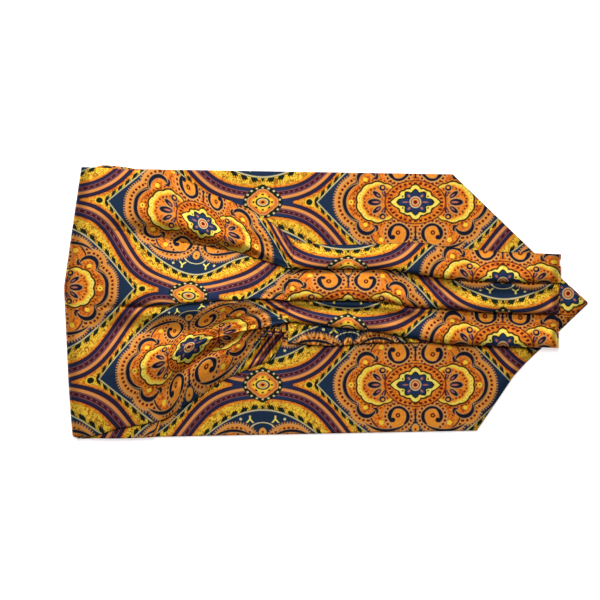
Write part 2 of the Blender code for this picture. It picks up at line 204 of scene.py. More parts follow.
# Creases in the upper run, from the gather leftwards: soft troughs with their own two widths
#     X       Y      depth   width above, width below
CREASE_UPPER = (
    (-40.0, 25.5, 0.0, 2.0, 3.0),
    (-52.0, 29.0, 1.3, 2.0, 4.0),
    (-70.0, 32.5, 1.5, 3.5, 6.0),
    (-95.0, 37.5, 0.9, 5.0, 8.0),
    (-125.0, 44.0, 0.0, 8.0, 9.0),
)
CREASE_MIDDLE = (
    (-60.0, 0.4, 0.0, 0.8, 1.4),
    (-73.8, -1.0, 1.2, 0.9, 1.6),
    (-92.1, -2.8, 1.5, 1.2, 2.0),
    (-110.0, -2.6, 0.9, 1.6, 4.0),
    (-128.0, -1.3, 0.0, 3.0, 9.0),
)
CREASE_LOWER = (
    (-38.0, -15.0, 0.0, 2.0, 3.0),
    (-49.3, -20.2, 1.5, 3.0, 3.0),
    (-56.1, -23.1, 1.9, 3.0, 3.5),
    (-75.0, -32.8, 1.7, 4.0, 4.0),
    (-88.0, -44.0, 0.0, 5.0, 5.0),
)
CREASES = (CREASE_UPPER, CREASE_MIDDLE, CREASE_LOWER)

# Points of the two lower runs: (X, Y) from the top corner down
POINT_B = ((72.0, 73.0), (74.4, 70.6), (148.2, -0.5), (121.0, -26.2), (106.6, -41.9), (85.6, -73.0))
POINT_A = ((70.0, 71.6), (73.0, 69.2), (149.4, -0.3), (123.0, -25.6), (105.0, -42.4), (83.0, -71.6))
LEFT_EDGE_A = (-77.6, 76.0)
LEFT_EDGE_B = (-77.4, 76.4)
BLADE_WIDTH = 153.4
LOWEST_THREAD = -80.4
B_BASE = 1.5
B_TOP = 5.3
B_LEFT = 2.6  # from blade A's fold to blade B's
B_DEPTH = 2.0  # along X, from blade B's fold to where it lies level
B_MIDDLE = 3.4  # height of its fold
B_SETTLES = 12  # its upper run narrows to the hidden outline in one part out of this many
FLAT_STEPS_B = 40
TURN_STEPS_B = 11
HIDDEN_STEPS = 90
PRINT_MIDDLE_B = (50.6, 5.1)  # X and Y of the lower run over the print's own middle

# Blade B's upper run under blade A's: Y of its two edges at each X
HIDDEN = (
    (-139.0, 58.0, -60.0),
    (-136.2, 74.0, -74.0),
    (-132.6, 78.4, -77.2),
    (-122.0, 77.8, -77.4),
    (-109.2, 76.0, -77.2),
    (-98.0, 66.0, -76.6),
    (-92.0, 61.5, -62.0),
    (-80.0, 53.0, -50.0),
    (-64.0, 46.0, -38.0),
    (-49.0, 41.0, -27.0),
    (-34.0, 35.5, -20.0),
    (-23.0, 31.0, -17.0),
)

# Neckband: Y of its upper edge and of the three pleats' folds at each X
#     X       edge    fold 1  fold 2  fold 3
BAND = (
    (-20.8, 35.1, 19.1, 1.5, -11.1),
    (3.1, 32.9, 19.1, 1.1, -13.7),
    (29.4, 33.3, 19.1, 0.6, -16.8),
    (49.9, 34.4, 16.2, -2.6, -20.5),
    (68.7, 31.6, 13.4, -3.7, -23.4),
    (98.9, 29.0, 11.7, -6.0, -24.8),
    (132.0, 27.6, 11.1, -6.6, -25.9),
)
BAND_LEFT = -21.9
BAND_DIP = 0.7  # how far its left end sinks under the blade
BAND_DIP_LENGTH = 1.2  # and over what length
BAND_TURN = 127.4  # where the band starts to turn down and back under itself
OVERHANGS = (5.2, 4.8, 3.9)  # how far each pleat's turn goes to the right
TURN_HEIGHT = 5.55  # height of the turn's axis
TURN_ARC = 10.4  # cloth in the turn
TURN_SQUEEZE = 0.7  # height of the lower half as a share of the upper half's
LEAST_DROP = 3.8  # before that squeeze, so that the lower half stays under the hollows
BAND_STEPS = (130, 15, 70)  # points up to the turn, round it and on the way back
BAND_READ_TO = 131.4  # BAND is read no further to the right than this
BACK_SHORT = 4.0  # how far the way back ends from the band's left end
#     place along the band, and in the print
BAND_PRINT = ((-22.5, 55.8), (-21.4, 56.9), (12.3, 86.9), (100.0, 173.8), (300.0, 372.0))
#     share of the width that shows, from the fold up; height where the pleat above stands open
#     over a hollow, and where it lies close
PLEAT_SECTION = (
    (0.58, 7.0, 7.0),
    (0.30, 6.9, 6.9),
    (0.08, 6.9, 6.9),
    (0.01, 7.5, 7.5),
    (0.00, 8.5, 8.5),
    (0.03, 9.4, 9.4),
    (0.09, 9.9, 9.9),
    (0.22, 10.0, 10.0),
    (0.50, 9.2, 9.7),
    (0.66, 7.6, 9.2),
    (0.78, 5.2, 8.4),
    (0.92, 4.4, 6.8),
    (1.00, 4.4, 5.4),
)
#     X, and how far open the hollow over the second and over the third pleat is there
HOLLOWS = (
    (-22.0, 0.10, 0.35),
    (-12.0, 0.10, 1.00),
    (40.0, 0.10, 1.00),
    (60.0, 0.15, 0.60),
    (76.0, 0.80, 0.50),
    (132.0, 0.90, 0.60),
)
FOLD_PLACE = 4  # the row of PLEAT_SECTION that is the fold itself
SECTION_WIDTH = 17.0  # a pleat's usual width, to measure along its section
SECTION_POINTS = 40
TUCKED_END = (0.58, 4.7)  # its end under the pleat above: share of that one's width, and height
#     the first pleat has these rows after the first TURNED_FROM, as its edge is turned under
TURNED_FROM = 9
TURNED_EDGE = (
    (0.80, 8.3, 8.3),
    (0.94, 7.8, 7.8),
    (1.00, 6.9, 6.9),
    (0.97, 6.1, 6.1),
    (0.80, 5.9, 5.9),
)
PLEAT_THREADS = (51.9, 6.0, -52.0)  # the thread at each pleat's fold

# Slow waves along the pleats: height, angle gained for each mm, and from pleat to pleat
BAND_WAVES = ((0.25, 0.11, 2.0), (0.15, 0.27, 1.0))
LOOSE_FROM = 6.8  # cloth above this height is free to wave
LOOSE_OVER = 2.8  # and waves fully this much higher

# The turned-under cloth below the third pleat: Y of its edge at each X
FLAP = (
    (-20.8, -23.0),
    (3.1, -24.4),
    (29.4, -22.6),
    (49.9, -22.6),
    (68.7, -21.6),
    (98.9, -21.6),
)
FLAP_TOP = 6.0  # height of its edge
FLAP_LOW = 4.6  # deep in the hollow behind that
FLAP_EDGE = 0.3  # share of its depth in which it falls from the one to the other
FLAP_TUCK = 7.0  # how far it reaches in under the pleat, from the fold
FLAP_WAVE = 1.9
FLAP_WAVE_LENGTH = 16.0  # of the waves at the left
FLAP_TIGHTENS = 34.0  # at this length there is one wave more than that gives, at twice it four
FLAP_WAVE_SHOWN = 6.0  # where this much of the flap shows, its waves are at their full height
FLAP_FADE = 1.5  # power with which they fade towards the back
FLAP_STRAY = (0.9, 13.0)  # angle by which the waves stray, and the length that goes with it
FLAP_SLANT = 4.0  # angle by which the crests change on their way in
FLAP_CURL = 1.2  # angle that a ruffle turns through, down from its crest
FLAP_STEPS = (260, 14)  # points along it and from its edge in

# The print: one unit of its own drawing is this much cloth, in mm
UNIT = 0.57
UV_SCALE = 100.0  # mm of cloth in one unit of the pieces' UV maps
HALF_REPEAT = (152.5, 91.25)  # from a ring to the next medallion along, and across

# The frames' middle line, in the print's units: its middle, how far it swings, and how square
FRAME_MIDDLE = 45.6
FRAME_SWING = 44.0
FRAME_SQUARED = 1.4


def linear(colour, share=1.0):
    """An sRGB hex colour as linear red, green, blue and alpha, or a share of its light."""
    channels = [int(colour[place : place + 2], 16) / 255 for place in (1, 3, 5)]
    return tuple(
        share * (level / 12.92 if level <= 0.04045 else ((level + 0.055) / 1.055) ** 2.4)
        for level in channels
    ) + (1.0,)


# The print's dyes as they look in full light
DYE_DEPTH = 0.78  # share of that light that the silk gives back under this studio's lamps
SATIN_SHARE = 0.5  # share of the light that goes back as from a coloured mirror
SATIN_ROUGHNESS = 0.5
SATIN_HAZE = 0.04  # level of the colourless shine, kept low as it would grey the dark dyes
ORANGE = linear("#EA882A", DYE_DEPTH)
DEEP_ORANGE = linear("#C2561A", DYE_DEPTH)
BRIGHT_ORANGE = linear("#EE9A32", DYE_DEPTH)
YELLOW = linear("#FBCE3E", DYE_DEPTH)
AMBER = linear("#B0701C", DYE_DEPTH)
PALE_YELLOW = linear("#F8E670", DYE_DEPTH)
CREAM = linear("#DCCE98", DYE_DEPTH)
TAN = linear("#D49C60", DYE_DEPTH)
PEACH = linear("#E2924E", DYE_DEPTH)
APRICOT = linear("#E4913A", DYE_DEPTH)
NAVY = linear("#1F3149", DYE_DEPTH)
DEEP_NAVY = linear("#1A1A29", DYE_DEPTH)
BLUE = linear("#253557", DYE_DEPTH)
PURPLE = linear("#2D243E", DYE_DEPTH)
MAUVE = linear("#8C5A64", DYE_DEPTH)
MAROON = linear("#4A181C", DYE_DEPTH)
DARK_RED = linear("#64140C", DYE_DEPTH)
BROWN = linear("#35240C", DYE_DEPTH)
GREEN_BLACK = linear("#18241A", DYE_DEPTH)
PINK = linear("#B87066", DYE_DEPTH)


def curve_through(places, values, at):
    """A smooth curve through a table's points, read at the given places.

    Each piece is a cubic. The slope at a point is the harmonic mean of the slopes on either
    side, or nought at a peak, so the curve never overshoots its points.
    """
    places = np.asarray(places, float)
    values = np.asarray(values, float)
    step = np.diff(places).reshape(-1, *[1] * (values.ndim - 1))
    rise = np.diff(values, axis=0) / step
    product = rise[:-1] * rise[1:]
    total = rise[:-1] + rise[1:]
    inner = np.where(product > 0, 2 * product / np.where(product > 0, total, 1), 0)
    slope = np.concatenate([rise[:1], inner, rise[-1:]])
    at = np.clip(np.asarray(at, float), places[0], places[-1])
    left = np.clip(np.searchsorted(places, at, side="right") - 1, 0, len(places) - 2)
    width = step[left]
    t = (at - places[left]).reshape(width.shape) / width
    start, end = values[left], values[left + 1]
    return (
        (1 + 2 * t) * (1 - t) ** 2 * start
        + t * (1 - t) ** 2 * width * slope[left]
        + t**2 * (3 - 2 * t) * end
        - t**2 * (1 - t) * width * slope[left + 1]
    )


def shift_at(threads, along):
    """Sideways shift of the cloth at each thread and distance along, both given as grids."""
    places = [row[0] for row in SHIFTS][::-1]
    rows = curve_through(ALONG, np.array([row[1] for row in SHIFTS][::-1]).T, along).T
    columns = [np.interp(threads[:, c], places, rows[:, c]) for c in range(threads.shape[1])]
    return np.stack(columns, axis=1)


def cloth_piece(name, points, print_place, wall, material):
    """A sheet of cloth from a grid of points on its outer face, with its place in the print as UV.

    The thickness goes inwards from that face, and its edges are rounded.
    """
    rows, columns = points.shape[:2]
    index = np.arange(rows * columns).reshape(rows, columns)
    corners = (index[:-1, :-1], index[:-1, 1:], index[1:, 1:], index[1:, :-1])
    faces = np.stack([corner.ravel() for corner in corners], axis=1)
    mesh = bpy.data.meshes.new(name)
    mesh.from_pydata((points.reshape(-1, 3) * MM).tolist(), [], faces.tolist())
    layer = mesh.uv_layers.new(name="cloth")
    layer.data.foreach_set("uv", (print_place.reshape(-1, 2) / UV_SCALE)[faces.ravel()].ravel())
    mesh.shade_smooth()
    mesh.materials.append(material)
    piece = bpy.data.objects.new(name, mesh)
    bpy.context.scene.collection.objects.link(piece)
    thickness = piece.modifiers.new("wall", "SOLIDIFY")
    thickness.thickness = wall * MM
    thickness.offset = -1.0
    rounding = piece.modifiers.new("rounded edges", "BEVEL")
    rounding.width = EDGE_ROUND * MM
    rounding.segments = 2
    rounding.limit_method = "ANGLE"
    rounding.angle_limit = np.radians(60)
    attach(piece, "root")
    return piece


def span_rise(kind, share):
    """Share of the height from one knot to the next at each share of the way between them."""
    if kind == "straight":
        return share
    if kind == "smooth":
        return share**2 * (3 - 2 * share)
    if kind == "round top":
        return 1 - (1 - share) ** EDGE_POWER
    return share**EDGE_POWER


def tuck_under(part, start, end, share):
    """Bends the cloth between two knots round a fold's nose, in under it and out again.

    It goes in by TUCK_PATH's share of its reach: as far as half of its cloth allows, and no
    further than the fold's height gives room for.
    """
    place, inward, drop = np.array(TUCK_PATH).T
    slack = (start[0] - end[0]) / 2 - TUCK_SPARE
    room = TUCK_PER_HEIGHT * (start[2] - end[2] - TUCK_HEIGHT)
    reach = np.clip(np.minimum(slack, room), 0.0, TUCK_REACH)
    bent = curve_through(place, np.stack([inward, drop], axis=1), share[:, 0])
    part[1] += bent[:, :1] * reach
    part[2] = start[2] + (end[2] - start[2]) * bent[:, 1:]


def gathered_run(along):
    """Thread, Y and height on the upper run's grid, from its lower edge up.

    Between two knots, thread and Y go in a straight line and the height by its span's own kind
    of rise, or both follow a tuck.
    """
    knots = curve_through(ALONG, np.array(KNOTS).transpose(2, 0, 1), along).transpose(1, 2, 0)
    rows = [knots[0][:, None, :]]
    for number, (count, kind, tucked) in enumerate(SPANS):
        start, end = knots[number][:, None, :], knots[number + 1][:, None, :]
        share = (np.arange(1, count + 1) / count)[None, :, None]
        part = start + (end - start) * share
        part[2] = start[2] + (end[2] - start[2]) * span_rise(kind, share[0])
        if tucked:
            tuck_under(part, start, end, share[0])
        rows.append(part)
    threads, y, z = np.concatenate(rows, axis=1)[:, ::-1]
    return threads, y, z


def crease_depth(x, y):
    """Depth of all the creases at each place: bell-shaped across, by the width of that side."""
    depth = np.zeros_like(x)
    for crease in CREASES:
        table = np.array(crease)[::-1]
        middle, deep, above, below = curve_through(table[:, 0], table[:, 1:], x.ravel()).T
        off = y - middle.reshape(x.shape)
        width = np.where(off > 0, above.reshape(x.shape), below.reshape(x.shape))
        shown = (x >= table[0, 0]) & (x <= table[-1, 0])
        depth += np.where(shown, deep.reshape(x.shape) * np.exp(-((off / width) ** 2)), 0)
    return depth


def gather_ripples(threads, along):
    """Small ridges that run out of the gather: sines across the threads, fading leftwards."""
    near_gather = np.clip((along - RIPPLES_FROM) / (GATHER - RIPPLES_FROM), 0, 1) ** RIPPLES_POWER
    wave = sum(height * np.sin(threads * pace + start) for height, pace, start in RIPPLES)
    return wave * near_gather[None, :]


def turned_down_pleats(x, y):
    """Small upright pleats where the lowest cloth turns down at the gather.

    They are a sine along X that leans with Y, and fades out at the left, the top and the foot.
    """
    from_left = np.clip((x - PLEATS_FROM) / PLEATS_FADE, 0, 1)
    from_foot = np.clip((y - PLEATS_LOW) / PLEATS_LOW_FADE, 0, 1)
    from_top = np.clip((PLEATS_TOP - y) / PLEATS_FADE, 0, 1)
    wave = np.sin((x - PLEATS_FROM) * 2 * np.pi / PLEATS_APART + PLEATS_LEAN * y)
    return PLEATS_HEIGHT * from_left * from_foot * from_top * wave


def point_edge(corners, y):
    """X of a blade's pointed end at each Y, straight between its corners."""
    places = [corner[1] for corner in corners][::-1]
    return np.interp(y, places, [corner[0] for corner in corners][::-1])


def lower_run(corners, left_edge, left_x, share, steps):
    """X and Y of a blade's flat run, from its point to the left end, one line for each thread."""
    end_y = corners[-1][1] + share * (corners[0][1] - corners[-1][1])
    left_y = left_edge[0] + share * (left_edge[1] - left_edge[0])
    right_x = point_edge(corners, end_y)
    step = np.linspace(1, 0, steps)[None, :]
    x = left_x[:, None] + (right_x - left_x)[:, None] * step
    y = left_y[:, None] + (end_y - left_y)[:, None] * step
    return x, y


def thread_rows(corners):
    """Shares of the width about THREAD_STEP apart, with one through every corner of the point."""
    places = np.array([corner[1] for corner in corners][::-1])
    parts = [
        np.linspace(low, high, 1 + int((high - low) / THREAD_STEP), endpoint=False)
        for low, high in zip(places[:-1], places[1:])
    ]
    y = np.concatenate(parts + [places[-1:]])
    return (y - places[0]) / (places[-1] - places[0])


def joined(*runs):
    """One grid of points from several runs of cloth, each given as its X, Y and height."""
    return np.concatenate([np.stack(run, axis=2) for run in runs], axis=1)


def blade_a(material):
    """Blade A: flat on the table, round the left fold and back over to the gather.

    Each line is one thread. The fold is half an oval: X by the cosine of its angle, height by
    the sine. The upper run's height is its knots' height, with the ripples and upright pleats
    added and the creases taken off.
    """
    turn = np.linspace(-np.pi / 2, 0, FOLD_STEPS)[1:-1]
    curl = np.linspace(0, np.pi / 2, FOLD_STEPS)[:-1]
    open_cloth = np.linspace(FOLD_DEPTH, GATHER_START, OPEN_STEPS)
    gathered = np.linspace(GATHER_START, GATHER + TUCKED, GATHER_STEPS)[1:]
    along = np.concatenate([FOLD_DEPTH * (1 - np.cos(curl)), open_cloth, gathered])
    rise = np.concatenate([np.sin(curl), np.ones(len(along) - len(curl))])
    threads, upper_y, top = gathered_run(along)
    share = (threads[:, 0] - LOWEST_THREAD) / BLADE_WIDTH
    edge_x = FOLD_LEFT + shift_at(threads[:, :1], along[:1])[:, 0]
    flat_left = edge_x + FOLD_DEPTH
    flat_x, flat_y = lower_run(POINT_A, LEFT_EDGE_A, flat_left, share, FLAT_STEPS_A)
    upper_x = FOLD_LEFT + along[None, :] + shift_at(threads, along)
    top = top + gather_ripples(threads, along) - crease_depth(upper_x, upper_y)
    top = top + turned_down_pleats(upper_x, upper_y)
    upper_z = FOLD_MIDDLE + (top - FOLD_MIDDLE) * rise
    turn_x = edge_x[:, None] + FOLD_DEPTH * (1 - np.cos(turn))
    mixed = (1 + np.sin(turn))[None, :]
    turn_y = flat_y[:, -1:] * (1 - mixed) + upper_y[:, :1] * mixed
    turn_z = FOLD_MIDDLE * (1 + np.sin(turn)) + 0 * turn_x
    flat = (flat_x, flat_y, 0 * flat_x)
    points = joined(flat, (turn_x, turn_y, turn_z), (upper_x, upper_y, upper_z))
    flat_place = PRINT_START - FOLD_ARC - (flat_x - flat_x[:, -1:])
    turn_place = PRINT_START + FOLD_ARC * turn / (np.pi / 2) + 0 * turn_x
    upper_place = PRINT_START + along[None, :] + 0 * upper_x
    place = np.concatenate([flat_place, turn_place, upper_place], axis=1)
    start = np.repeat(threads[:, :1], flat_x.shape[1] + len(turn), axis=1)
    print_place = np.stack([place, np.concatenate([start, threads], axis=1)], axis=2)
    piece = cloth_piece("blade_a", points, print_place, WALL, material)
    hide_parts("blade_a_upper", "blade_a_lower")
    return piece


def blade_b(material):
    """Blade B: flat on blade A, with its point, round its own left fold and back to the gather.

    Each line is one thread. The fold is half an oval, as blade A's is. The upper run is flat and
    hidden, and each thread keeps its share of the width between HIDDEN's two edges.
    """
    share = thread_rows(POINT_B)
    hidden = np.array(HIDDEN)
    threads = LOWEST_THREAD + share * BLADE_WIDTH
    edge_x = FOLD_LEFT + B_LEFT + shift_at(threads[:, None], np.array([0.0]))[:, 0]
    flat_x, flat_y = lower_run(POINT_B, LEFT_EDGE_B, edge_x + B_DEPTH, share, FLAT_STEPS_B)
    turn = np.linspace(-np.pi / 2, np.pi / 2, TURN_STEPS_B)[1:-1]
    turn_x = edge_x[:, None] + B_DEPTH * (1 - np.cos(turn))
    turn_z = B_MIDDLE + (B_TOP - B_BASE) / 2 * np.sin(turn) + 0 * turn_x
    turn_y = flat_y[:, -1:] + 0 * turn_x
    step = np.linspace(0, 1, HIDDEN_STEPS)[None, :]
    start_x = edge_x + B_DEPTH
    upper_x = start_x[:, None] + (hidden[-1, 0] - start_x)[:, None] * step
    edges = curve_through(hidden[:, 0], hidden[:, 1:], upper_x.ravel()).reshape(*upper_x.shape, 2)
    upper_y = edges[..., 1] + share[:, None] * (edges[..., 0] - edges[..., 1])
    settle = np.clip(step * B_SETTLES, 0, 1)
    settle = settle * settle * (3 - 2 * settle)
    upper_y = flat_y[:, -1:] * (1 - settle) + upper_y * settle
    upper_z = np.full_like(upper_x, B_TOP)
    flat = (flat_x, flat_y, np.full_like(flat_x, B_BASE))
    points = joined(flat, (turn_x, turn_y, turn_z), (upper_x, upper_y, upper_z))
    gone = np.diff(points, axis=1)
    length = np.sqrt((gone[..., [0, 2]] ** 2).sum(axis=2))
    run = np.concatenate([np.zeros((len(share), 1)), np.cumsum(length, axis=1)], axis=1)
    place = flat_x[:, :1] - PRINT_MIDDLE_B[0] - run
    turned = np.repeat(flat_y[:, -1:], len(turn) + HIDDEN_STEPS, axis=1)
    across = np.concatenate([flat_y, turned], axis=1) - PRINT_MIDDLE_B[1]
    print_place = np.stack([place, across], axis=2)
    piece = cloth_piece("blade_b", points, print_place, WALL, material)
    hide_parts("blade_b_lower", "hidden_layers")
    return piece


def turned_back(run, y, height, overhang):
    """Carries the band over its right end and back: run is the distance along its own cloth.

    In the turn, X gains the overhang times the angle's sine, and the height above the turn's
    axis is multiplied by the cosine, which is negative on the way back.
    """
    past = np.clip(run - BAND_TURN, 0, TURN_ARC)
    back = np.clip(run - BAND_TURN - TURN_ARC, 0, None)
    angle = past / TURN_ARC * np.pi
    reach = height - TURN_HEIGHT
    x = np.minimum(run, BAND_TURN) - back + overhang * np.sin(angle)
    down = np.cos(angle)
    lower = TURN_SQUEEZE * down * np.maximum(reach, LEAST_DROP)
    z = TURN_HEIGHT + np.where(down > 0, reach * down, lower)
    return np.stack([x, y, z], axis=2)


def band_run():
    """Distances along the band's own cloth: to the turn, round it, and back to the left."""
    straight = np.linspace(BAND_LEFT, BAND_TURN, BAND_STEPS[0])
    turn = np.linspace(BAND_TURN, BAND_TURN + TURN_ARC, BAND_STEPS[1])[1:]
    way_back = np.linspace(0, BAND_TURN - BAND_LEFT - BACK_SHORT, BAND_STEPS[2])[1:]
    return np.concatenate([straight, turn, BAND_TURN + TURN_ARC + way_back])


def band_lines(run):
    """Y of the band's upper edge and its three folds at each distance along, one line each."""
    folded = np.where(run > BAND_TURN, BAND_TURN - (run - BAND_TURN - TURN_ARC), run)
    x = np.clip(folded, BAND[0][0], BAND_READ_TO)
    return curve_through([row[0] for row in BAND], [row[1:] for row in BAND], x).T


def band_print(run, across):
    """Place in the print for each point of the band, from how far along it lies and its thread."""
    place = np.interp(run, *np.array(BAND_PRINT).T)[None, :] + 0 * across
    return np.stack([place, across], axis=2)


def section_points(rows, count):
    """A section's rows, resampled evenly along its length, and how far each is past the fold."""
    table = np.array(rows, float)
    scaled = table[:, :2] * np.array([SECTION_WIDTH, 1.0])
    length = np.concatenate([[0], np.cumsum(np.sqrt((np.diff(scaled, axis=0) ** 2).sum(axis=1)))])
    at = np.linspace(0, length[-1], count)
    return curve_through(length, table, at), length[FOLD_PLACE] - at


def neckband_pleat(number, material):
    """One knife pleat: cloth from under its own fold, round it, and up under the next pleat.

    Y is the section's share of the width from the fold to the line above. The height goes from
    the section's closed height to its open one by how far open the hollow is, with slow sines
    along the band on what is loose.
    """
    run = band_run()
    lines = band_lines(run)
    above, fold = lines[number - 1], lines[number]
    rows = PLEAT_SECTION if number > 1 else PLEAT_SECTION[:TURNED_FROM] + TURNED_EDGE
    section, from_fold = section_points(rows, SECTION_POINTS)
    share = section[:, :1]
    y = fold[None, :] + share * (above - fold)[None, :]
    hollows = np.array(HOLLOWS).T
    is_open = np.interp(run, hollows[0], hollows[max(number - 1, 1)])
    z = section[:, 2:] + (section[:, 1:2] - section[:, 2:]) * is_open
    across = PLEAT_THREADS[number - 1] - from_fold[:, None] + 0 * y
    if number > 1:
        higher = lines[number - 2]
        y = np.vstack([y, above + TUCKED_END[0] * (higher - above)])
        z = np.vstack([z, np.full_like(run, TUCKED_END[1])])
        across = np.vstack([across, across[-1] + y[-1] - y[-2]])
    wave = sum(high * np.sin(run * pace + number * shift) for high, pace, shift in BAND_WAVES)
    loose = np.clip((z - LOOSE_FROM) / LOOSE_OVER, 0, 1)
    dip = BAND_DIP * np.exp(-(run - BAND_LEFT) / BAND_DIP_LENGTH)
    points = turned_back(run[None, :] + 0 * y, y, z + wave * loose - dip, OVERHANGS[number - 1])
    print_place = band_print(run, across)
    piece = cloth_piece(f"pleat_{number}", points, print_place, PLEAT_WALL, material)
    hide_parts(f"neckband_pleat_{number}")
    return piece


def neckband_flap(material):
    """What is left of the cloth's width, turned in under the third pleat and ruffled.

    The height falls from its edge as a bell curve. The ruffle on it is the square of a cosine of
    another cosine, so each turn of the wave has two crests. They stand closer to the right.
    """
    places = [row[0] for row in FLAP]
    x = np.linspace(BAND_LEFT, places[-1], FLAP_STEPS[0])
    edge = curve_through(places, [row[1] for row in FLAP], x)
    fold = band_lines(x)[3]
    share = np.linspace(0, 1, FLAP_STEPS[1])[:, None]
    y = edge + share * (fold + FLAP_TUCK - edge)
    fade = np.clip((fold - edge) / FLAP_WAVE_SHOWN, 0, 1) * (1 - share) ** FLAP_FADE
    turns = (x - BAND_LEFT) / FLAP_WAVE_LENGTH + ((x - BAND_LEFT) / FLAP_TIGHTENS) ** 2
    stray = FLAP_STRAY[0] * np.sin(x / FLAP_STRAY[1])
    ruffle = np.cos(2 * np.pi * turns + stray) + FLAP_SLANT * share
    wave = FLAP_WAVE * fade * np.cos(ruffle * FLAP_CURL) ** 2
    z = FLAP_LOW + (FLAP_TOP - FLAP_LOW) * np.exp(-((share / FLAP_EDGE) ** 2)) + wave
    points = np.stack([x[None, :] + 0 * y, y, z], axis=2)
    print_place = band_print(x, LOWEST_THREAD + (y - edge))
    piece = cloth_piece("flap", points, print_place, PLEAT_WALL, material)
    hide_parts("neckband_flap")
    return piece


class Wire:
    """A value that one node hands to others. Arithmetic on it adds Math nodes."""

    def __init__(self, tree, socket):
        self.tree = tree
        self.socket = socket


def add(tree, kind, *inputs, **settings):
    """Adds one node: a Math node where kind is one of its operations, or else that type of node.

    Inputs are linked or set in their order, and None leaves one alone. Hands back its output.
    """
    is_sum = not kind.startswith("ShaderNode")
    node = tree.nodes.new("ShaderNodeMath" if is_sum else kind)
    if is_sum:
        node.operation = kind
    for name, value in settings.items():
        setattr(node, name, value)
    sockets = [socket for socket in node.inputs if socket.enabled]
    for socket, value in zip(sockets, inputs):
        if isinstance(value, Wire):
            tree.links.new(value.socket, socket)
        elif value is not None:
            socket.default_value = value
    return Wire(tree, next(output for output in node.outputs if output.enabled))


def arithmetic(operation, swapped):
    """A Wire's method for one of + - * /, with the operands swapped where the Wire is second."""

    def apply(left, right):
        pair = (right, left) if swapped else (left, right)
        return add(left.tree, operation, *pair)

    return apply


SUMS = {"add": "ADD", "sub": "SUBTRACT", "mul": "MULTIPLY", "truediv": "DIVIDE"}
for sign, operation in SUMS.items():
    setattr(Wire, f"__{sign}__", arithmetic(operation, False))
    setattr(Wire, f"__r{sign}__", arithmetic(operation, True))


SOFT = 0.45  # half of the width over which most edges of the print change colour


def below(value, limit, soft=SOFT):
    """A mask that is 1 where value is under the limit, with a soft edge."""
    return add(value.tree, "ShaderNodeMapRange", value, limit - soft, limit + soft, 1.0, 0.0)


def near(value, middle, half, soft=0.4):
    """A mask that is 1 where value is within half of the middle."""
    return below(add(value.tree, "ABSOLUTE", value - middle), half, soft)


def both(*masks):
    """Where all of these masks are."""
    result = masks[0]
    for mask in masks[1:]:
        result = result * mask
    return result


def beads(value, period, half, soft=0.35):
    """A mask repeated along a value: beads of that half length, one every period."""
    return below(add(value.tree, "PINGPONG", value, period / 2), half, soft)


def paint(colour, mask, new):
    """The colour with another one laid over it where the mask is."""
    return add(mask.tree, "ShaderNodeMix", mask, colour, new, data_type="RGBA")


def oval(at, centre, size, turn=0.0):
    """Place in an oval's own axes, as shares of its half sizes, and how far out that is."""
    local = add(
        at.tree,
        "ShaderNodeMapping",
        at,
        (*centre, 0.0),
        (0.0, 0.0, np.radians(turn)),
        (*size, 1.0),
        vector_type="TEXTURE",
    )
    far = add(at.tree, "ShaderNodeVectorMath", local, operation="LENGTH")
    return local, far


def spot(at, centre, size, turn=0.0, soft=0.4):
    """A filled oval's mask."""
    far = oval(at, centre, size, turn)[1]
    return below(far, 1.0, soft / min(size))


def parts(vector):
    """The first two numbers of a vector."""
    first = add(vector.tree, "ShaderNodeSeparateXYZ", vector)
    second = Wire(vector.tree, first.socket.node.outputs[1])
    return first, second


def bearing(vector):
    """Direction of a place from its oval's middle, in radians."""
    across, up = parts(vector)
    return add(vector.tree, "ARCTAN2", up, across)


def layered(colour, value, rows):
    """Lays one colour after another over the last, each where the value is under its limit."""
    for limit, soft, dye in rows:
        colour = paint(colour, below(value, limit, soft), dye)
    return colour


def dabbed(plan, colour, rows):
    """Lays a filled oval over the colour for each row: centre, half sizes, turn and dye."""
    for centre, size, turn, dye in rows:
        colour = paint(colour, spot(plan.at, centre, size, turn), dye)
    return colour


def print_plan(tree):
    """Where a place lies in the print: all repeats folded onto one quarter of one medallion.

    The frames' middle line is a cosine squared off by a hyperbolic tangent. How far across the
    frame a place is, is its height over that line divided by the line's steepness, and its sign
    says which medallion it belongs to.
    """
    uv = add(tree, "ShaderNodeUVMap", uv_map="cloth")
    scale = UV_SCALE / UNIT
    place = add(tree, "ShaderNodeVectorMath", uv, (scale, scale, 0.0), operation="MULTIPLY")
    along, over = parts(place)
    x = add(tree, "PINGPONG", along, HALF_REPEAT[0])
    y = add(tree, "PINGPONG", over, HALF_REPEAT[1])
    angle = x * (np.pi / HALF_REPEAT[0])
    bend = add(tree, "TANH", add(tree, "COSINE", angle) * FRAME_SQUARED)
    middle = FRAME_MIDDLE - bend * FRAME_SWING
    steepest = FRAME_SWING * FRAME_SQUARED * np.pi / HALF_REPEAT[0]
    slope = (1.0 - bend * bend) * add(tree, "SINE", angle) * steepest
    steep = add(tree, "SQRT", slope * slope + 1.0)
    across = (y - middle) / steep
    odd = add(tree, "GREATER_THAN", across, 0.0)
    u = add(tree, "ABSOLUTE", (1.0 - odd) * HALF_REPEAT[0] - x)
    v = add(tree, "ABSOLUTE", odd * HALF_REPEAT[1] - y)
    right = add(tree, "GREATER_THAN", x, HALF_REPEAT[0] / 2)
    ring_u = add(tree, "ABSOLUTE", right * HALF_REPEAT[0] - x)
    ring_v = add(tree, "ABSOLUTE", right * HALF_REPEAT[1] - y)
    return SimpleNamespace(
        tree=tree,
        place=place,
        across=across,
        u=u,
        v=v,
        at=add(tree, "ShaderNodeCombineXYZ", u, v),
        ring_u=ring_u,
        ring_at=add(tree, "ShaderNodeCombineXYZ", ring_u, ring_v),
    )


